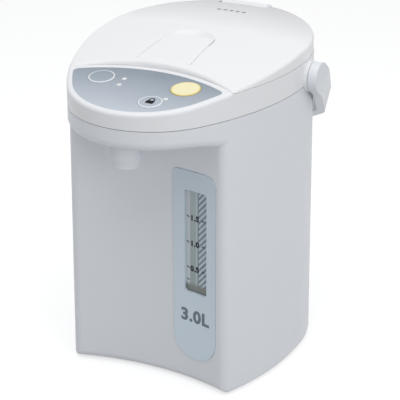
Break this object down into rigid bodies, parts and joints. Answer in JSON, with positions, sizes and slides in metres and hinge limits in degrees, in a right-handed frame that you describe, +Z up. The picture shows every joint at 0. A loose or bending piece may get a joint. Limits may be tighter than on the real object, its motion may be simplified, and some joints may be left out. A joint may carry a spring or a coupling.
{
  "type": "electric thermo pot",
  "caption": "Electric thermo pot with a hinged lid and lever latch, carry bail, press buttons, water gauge, spout over a cup recess and a pumped water way.",
  "frame": {"origin": "middle of the bounding box at the underside of the rubber feet", "axes": "+Z up, -Y towards the spout, +X to the right as seen from the front"},
  "size_m": [0.22, 0.2879, 0.299],
  "materials": {
    "casing_plastic": "satin moulded, pale grey white",
    "panel_film": "printed blue grey film",
    "cover_plastic": "satin pale blue grey",
    "clear_plastic": "clear",
    "lens": "frosted white",
    "inner_plastic": "moulded, plain",
    "silicone": "soft, translucent white",
    "dark_rubber": "soft, dark grey",
    "vessel_steel": "satin with a non-stick grey lining",
    "plain_steel": "bright",
    "heater_metal": "cast",
    "heater_band": "mica band in sheet metal",
    "board": "green circuit board",
    "iron": "dark pressed iron",
    "motor_case": "zinc plated",
    "brass_pin": "bright",
    "fuse_body": "ceramic"
  },
  "bodies": {
    "pot": {"outer_body": "casing_plastic", "shoulder_ring": "casing_plastic", "spout_housing": "casing_plastic", "spout_tip": "casing_plastic", "panel_overlay": "panel_film", "gauge_cover": "cover_plastic", "gauge_window": "clear_plastic", "gauge_tube": "clear_plastic", "indicator_lenses": "lens", "gauge_backing": "inner_plastic", "pump_housing": "inner_plastic", "pump_cover": "inner_plastic", "outlet_pipe": "inner_plastic", "inlet_socket": "inner_plastic", "base_plate": "inner_plastic", "vessel_gasket": "silicone", "lower_elbow": "silicone", "pump_inlet_sleeve": "silicone", "rubber_feet": "dark_rubber", "inner_vessel": "vessel_steel", "base_screws": "plain_steel", "hinge_pin": "plain_steel", "handle_pivot_pins": "plain_steel", "latch_keeper": "plain_steel", "thermistor": "plain_steel", "valve_ball": "plain_steel", "bottom_heater": "heater_metal", "band_heater": "heater_band", "control_board": "board", "power_board": "board", "transformer": "iron", "pump_motor": "motor_case", "inlet_pins": "brass_pin", "thermal_fuse": "fuse_body"},
    "lid": {"lid_shell": "casing_plastic", "lid_liner": "inner_plastic", "lid_seal": "silicone", "steam_cap": "inner_plastic", "steam_duct": "inner_plastic", "lid_screws": "plain_steel", "lever_pin": "plain_steel", "latch_spring": "plain_steel"},
    "lever": {"lid_lever": "casing_plastic"},
    "latch": {"lid_latch": "inner_plastic"},
    "handle": {"carry_handle": "casing_plastic"},
    "rotor": {"drive_rotor": "iron"},
    "impeller_wheel": {"impeller": "inner_plastic"},
    "reboil": {"reboil_button": "casing_plastic"},
    "dispense": {"dispense_button": "casing_plastic"},
    "lock": {"lock_button": "casing_plastic"}
  },
  "joints": [
    {"name": "lid_hinge", "type": "hinge", "parent": "pot", "child": "lid", "pos_m": [0, 0.11214, 0.2895], "axis": [-1, 0, 0], "range_deg": [0, 80], "deforming": ["latch_keeper"]},
    {"name": "lever_lift", "type": "hinge", "parent": "lid", "child": "lever", "pos_m": [0, -0.05086, 0.28649], "axis": [1, 0, 0], "range_deg": [0, 30], "stiffness_Nm_per_rad": 0.05, "springref_deg": -8.59},
    {"name": "latch_slide", "type": "slide", "parent": "lid", "child": "latch", "axis": [0, 1, 0], "range_m": [0, 0.0052], "deforming": ["latch_spring"]},
    {"name": "handle_swing", "type": "hinge", "parent": "pot", "child": "handle", "pos_m": [0, 0.03164, 0.265], "axis": [1, 0, 0], "range_deg": [0, 125]},
    {"name": "reboil_press", "type": "slide", "parent": "pot", "child": "reboil", "axis": [0, 0.1357, -0.9907], "range_m": [0, 0.0008], "stiffness_N_per_m": 400, "springref_m": -0.0005},
    {"name": "dispense_press", "type": "slide", "parent": "pot", "child": "dispense", "axis": [0, 0.1357, -0.9907], "range_m": [0, 0.0008], "stiffness_N_per_m": 400, "springref_m": -0.0005},
    {"name": "lock_press", "type": "slide", "parent": "pot", "child": "lock", "axis": [0, 0.1357, -0.9907], "range_m": [0, 0.0008], "stiffness_N_per_m": 400, "springref_m": -0.0005},
    {"name": "rotor_spin", "type": "hinge", "parent": "pot", "child": "rotor", "pos_m": [0.02, -0.02686, 0.041], "axis": [0, 0, 1], "continuous": true},
    {"name": "impeller_spin", "type": "hinge", "parent": "pot", "child": "impeller_wheel", "pos_m": [0.02, -0.02686, 0.049], "axis": [0, 0, 1], "continuous": true}
  ],
  "couplings": [
    {"joint": "latch_slide", "follows": "lever_lift", "m_per_rad": 0.009495},
    {"joint": "impeller_spin", "follows": "rotor_spin", "ratio": 1}
  ]
}
